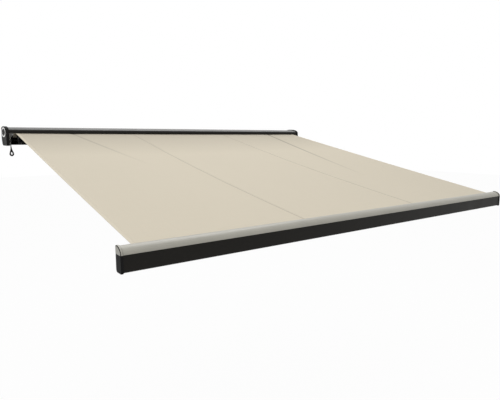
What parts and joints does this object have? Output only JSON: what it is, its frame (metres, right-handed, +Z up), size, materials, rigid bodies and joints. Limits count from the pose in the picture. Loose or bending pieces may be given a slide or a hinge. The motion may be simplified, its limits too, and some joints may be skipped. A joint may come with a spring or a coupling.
{
  "type": "folding-arm canvas awning",
  "caption": "Wall-mounted retractable awning: closed cassette, cream canvas cover, sprung folding arms and front rail, worked by a worm gear and a crank eye.",
  "frame": {"origin": "middle of the centre wall bracket's rear face, on the wall plane and at mid width", "axes": "+X along the wall to the right as seen from the front, +Y into the wall, +Z up; the awning is drawn out to its full reach"},
  "size_m": [3.502, 2.9113, 0.7063],
  "materials": {
    "anthracite_profile": "fine satin powder coat",
    "dark_casting": "satin powder coat on castings",
    "end_cap": "fine grain",
    "cap_trim": "brushed and anodised",
    "steel": "zinc plated",
    "crank_eye": "dark coated steel",
    "black_plastic": "moulded",
    "brass": "cast, greased",
    "canvas": "fine plain weave, matt"
  },
  "bodies": {
    "cassette": {"cassette_back_profile": "anthracite_profile", "cassette_lid": "anthracite_profile", "left_end_plate": "steel", "right_end_plate": "steel", "left_end_cap": "end_cap", "right_end_cap": "end_cap", "left_cap_trim": "cap_trim", "right_cap_trim": "cap_trim", "left_cap_screw": "steel", "right_cap_screw": "steel", "left_wall_bracket": "dark_casting", "centre_wall_bracket": "dark_casting", "right_wall_bracket": "dark_casting", "left_clamp_bolt": "steel", "centre_clamp_bolt": "steel", "right_clamp_bolt": "steel", "gearbox_housing": "dark_casting", "gearbox_cover": "dark_casting", "left_shoulder_bracket": "dark_casting", "right_shoulder_bracket": "dark_casting", "left_shoulder_pin": "steel", "right_shoulder_pin": "steel", "idler_bush": "black_plastic", "fabric_cover": "canvas"},
    "roller": {"roller_tube": "steel", "fabric_roll": "canvas", "drive_plug": "black_plastic", "idler_plug": "black_plastic", "worm_wheel": "brass"},
    "crank": {"worm_shaft": "steel", "crank_eye": "crank_eye"},
    "front_bar": {"front_rail": "anthracite_profile", "left_rail_cap": "end_cap", "right_rail_cap": "end_cap", "fabric_keder": "canvas", "left_hand_bracket": "dark_casting", "right_hand_bracket": "dark_casting", "left_hand_pin": "steel", "right_hand_pin": "steel"},
    "left_upper": {"left_shoulder_knuckle": "dark_casting", "left_upper_arm": "anthracite_profile", "left_elbow_fork": "dark_casting", "left_spring_cylinder": "dark_casting", "left_elbow_pin": "steel", "left_elbow_strap": "black_plastic"},
    "left_rod": {"left_spring_rod": "steel"},
    "left_fore": {"left_elbow_tongue": "dark_casting", "left_forearm": "anthracite_profile", "left_hand_knuckle": "dark_casting"},
    "right_upper": {"right_shoulder_knuckle": "dark_casting", "right_upper_arm": "anthracite_profile", "right_elbow_fork": "dark_casting", "right_spring_cylinder": "dark_casting", "right_elbow_pin": "steel", "right_elbow_strap": "black_plastic"},
    "right_rod": {"right_spring_rod": "steel"},
    "right_fore": {"right_elbow_tongue": "dark_casting", "right_forearm": "anthracite_profile", "right_hand_knuckle": "dark_casting"}
  },
  "joints": [
    {"name": "left_shoulder", "type": "hinge", "parent": "cassette", "child": "left_upper", "pos_m": [-1.6, -0.128, -0.0216], "axis": [0, -0.1959, 0.9806], "range_deg": [0, 65.66], "deforming": ["fabric_cover"]},
    {"name": "left_elbow", "type": "hinge", "parent": "left_upper", "child": "left_fore", "pos_m": [-1.01744, -1.46215, -0.28819], "axis": [0, -0.1959, 0.9806], "range_deg": [-131.33, 0], "deforming": ["left_elbow_strap"]},
    {"name": "bar_hinge", "type": "hinge", "parent": "left_fore", "child": "front_bar", "pos_m": [-1.6, -2.7963, -0.55478], "axis": [0, -0.1959, 0.9806], "range_deg": [0, 65.67]},
    {"name": "right_shoulder", "type": "hinge", "parent": "cassette", "child": "right_upper", "pos_m": [1.6, -0.128, -0.0216], "axis": [0, -0.1959, 0.9806], "range_deg": [-65.67, 0]},
    {"name": "right_elbow", "type": "hinge", "parent": "right_upper", "child": "right_fore", "pos_m": [1.01744, -1.46215, -0.28819], "axis": [0, -0.1959, 0.9806], "range_deg": [0, 131.33], "deforming": ["right_elbow_strap"]},
    {"name": "left_spring_slide", "type": "slide", "parent": "left_upper", "child": "left_rod", "axis": [0.406, -0.8962, -0.1791], "range_m": [0, 0.04585]},
    {"name": "right_spring_slide", "type": "slide", "parent": "right_upper", "child": "right_rod", "axis": [-0.406, -0.8962, -0.1791], "range_m": [0, 0.04585]},
    {"name": "roller_spin", "type": "hinge", "parent": "cassette", "child": "roller", "pos_m": [0, -0.0628, 0.021], "axis": [1, 0, 0], "range_deg": [-3842, 0]},
    {"name": "crank_turn", "type": "hinge", "parent": "cassette", "child": "crank", "pos_m": [-1.697, -0.09294, 0.02908], "axis": [0, 0.2588, 0.9659], "range_deg": [-42262, 0]}
  ],
  "couplings": [
    {"joint": "left_elbow", "follows": "left_shoulder", "ratio": -2},
    {"joint": "bar_hinge", "follows": "left_shoulder", "ratio": 1},
    {"joint": "right_shoulder", "follows": "left_shoulder", "ratio": -1},
    {"joint": "right_elbow", "follows": "left_shoulder", "ratio": 2},
    {"joint": "left_spring_slide", "follows": "left_shoulder", "m_per_rad": 0.04},
    {"joint": "right_spring_slide", "follows": "left_shoulder", "m_per_rad": 0.04},
    {"joint": "roller_spin", "follows": "left_shoulder", "ratio": -58.5},
    {"joint": "crank_turn", "follows": "left_shoulder", "ratio": -643.5}
  ]
}
